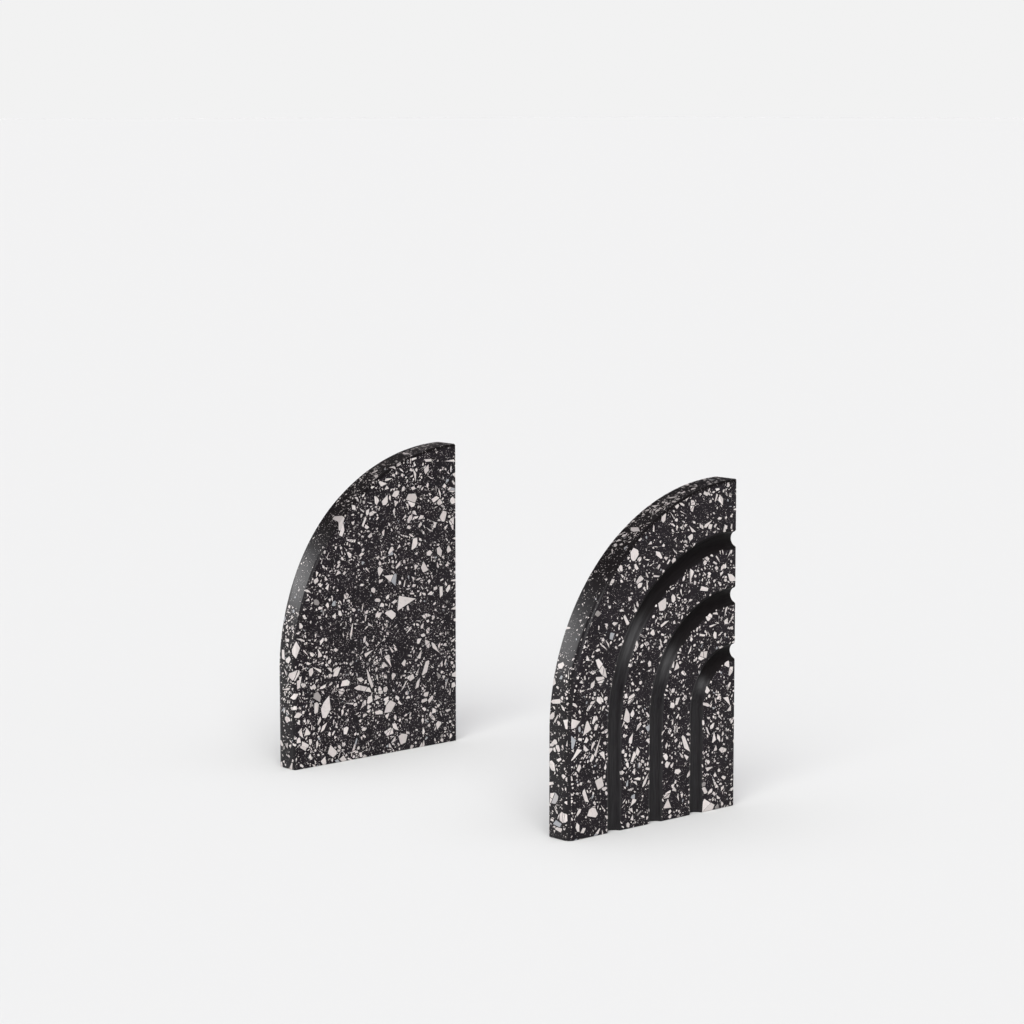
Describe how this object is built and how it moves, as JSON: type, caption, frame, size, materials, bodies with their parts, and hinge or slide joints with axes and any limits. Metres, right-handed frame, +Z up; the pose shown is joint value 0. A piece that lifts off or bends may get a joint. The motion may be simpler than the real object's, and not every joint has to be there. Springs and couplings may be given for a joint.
{
  "type": "book end pair",
  "caption": "Mirrored pair of black terrazzo book ends, each a solid quarter arch with concentric round-bottomed grooves on its outward face.",
  "frame": {"origin": "on the shelf, midway between the two book ends and halfway across their width", "axes": "+X along the row of books towards the right book end, +Y from the curved side of the blocks to their flat cut, +Z up"},
  "size_m": [0.201, 0.101, 0.147],
  "materials": {
    "terrazzo": "honed black terrazzo with off-white marble chips, satin and chip-free in the grooves"
  },
  "bodies": {
    "right_block": {"right_book_end": "terrazzo"},
    "left_block": {"left_book_end": "terrazzo"}
  },
  "joints": [
    {"name": "row_slide", "type": "slide", "parent": "right_block", "child": "left_block", "axis": [-1, 0, 0], "range_m": [-0.174, 0.125]}
  ]
}
